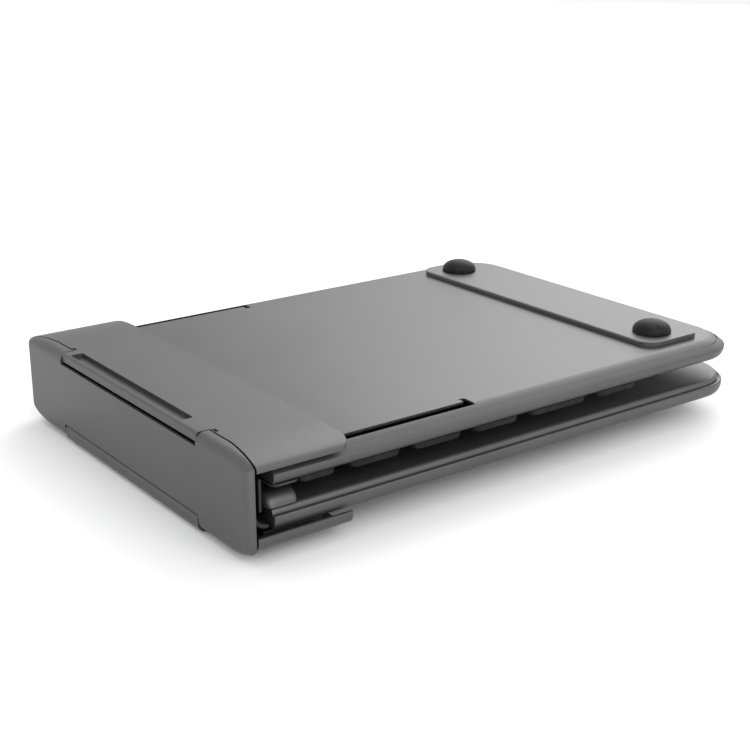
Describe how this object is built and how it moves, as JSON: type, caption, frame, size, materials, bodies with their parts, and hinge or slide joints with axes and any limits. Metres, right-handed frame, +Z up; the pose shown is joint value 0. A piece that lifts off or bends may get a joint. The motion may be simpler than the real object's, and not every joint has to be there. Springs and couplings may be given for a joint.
{
  "type": "laptop stand",
  "caption": "Folding laptop stand: two flat rounded boards hinged on an end spine, one board sliding in its cover, with rubber feet and edge pads.",
  "frame": {"origin": "under the middle of the folded stand, at its lowest point", "axes": "+X from the spine to the free ends of the boards, +Y along the hinges, +Z up through the boards"},
  "size_m": [0.3078, 0.22, 0.0515],
  "materials": {
    "coated_metal": "satin",
    "dark_metal": "satin",
    "rubber": "matte",
    "polymer": "matte",
    "steel": "satin"
  },
  "bodies": {
    "spine": {"end_panel": "coated_metal", "spine_liner": "dark_metal", "spine_plate": "dark_metal", "spine_screw_1": "steel", "spine_screw_2": "steel", "spine_screw_3": "steel", "spine_screw_4": "steel", "top_hinge_lug_near": "dark_metal", "top_hinge_pin_near": "steel", "top_hinge_lug_far": "dark_metal", "top_hinge_pin_far": "steel", "bottom_hinge_lug_near": "dark_metal", "bottom_hinge_pin_near": "steel", "bottom_hinge_lug_far": "dark_metal", "bottom_hinge_pin_far": "steel"},
    "top_leaf": {"top_cover": "coated_metal", "slide_hook_near": "steel", "slide_hook_far": "steel", "slide_glide_near": "polymer", "slide_glide_far": "polymer"},
    "upper_board": {"upper_board_shell": "coated_metal", "upper_board_panel": "coated_metal", "upper_board_stiffener_1": "dark_metal", "upper_board_stiffener_2": "dark_metal", "upper_board_stiffener_3": "dark_metal", "upper_end_rail": "coated_metal", "foot_strip": "coated_metal", "rubber_foot_near": "rubber", "rubber_foot_far": "rubber", "rubber_pad_near_1": "rubber", "rubber_pad_near_2": "rubber", "rubber_pad_near_3": "rubber", "rubber_pad_near_4": "rubber", "rubber_pad_near_5": "rubber", "rubber_pad_near_6": "rubber", "rubber_pad_far_1": "rubber", "rubber_pad_far_2": "rubber", "rubber_pad_far_3": "rubber", "rubber_pad_far_4": "rubber", "rubber_pad_far_5": "rubber", "rubber_pad_far_6": "rubber"},
    "lower_leaf": {"bottom_cover": "coated_metal", "lower_carrier_near": "steel", "lower_carrier_far": "steel", "lower_board_shell": "coated_metal", "lower_board_panel": "coated_metal", "lower_board_stiffener_1": "dark_metal", "lower_board_stiffener_2": "dark_metal", "lower_board_stiffener_3": "dark_metal", "lower_end_rail": "coated_metal"}
  },
  "joints": [
    {"name": "top_hinge", "type": "hinge", "parent": "spine", "child": "top_leaf", "pos_m": [-0.1457, 0, 0.0455], "axis": [0, -1, 0], "range_deg": [0, 90]},
    {"name": "board_slide", "type": "slide", "parent": "top_leaf", "child": "upper_board", "axis": [1, 0, 0], "range_m": [0, 0.03]},
    {"name": "bottom_hinge", "type": "hinge", "parent": "spine", "child": "lower_leaf", "pos_m": [-0.1457, 0, 0.0044], "axis": [0, 1, 0], "range_deg": [0, 90]}
  ]
}
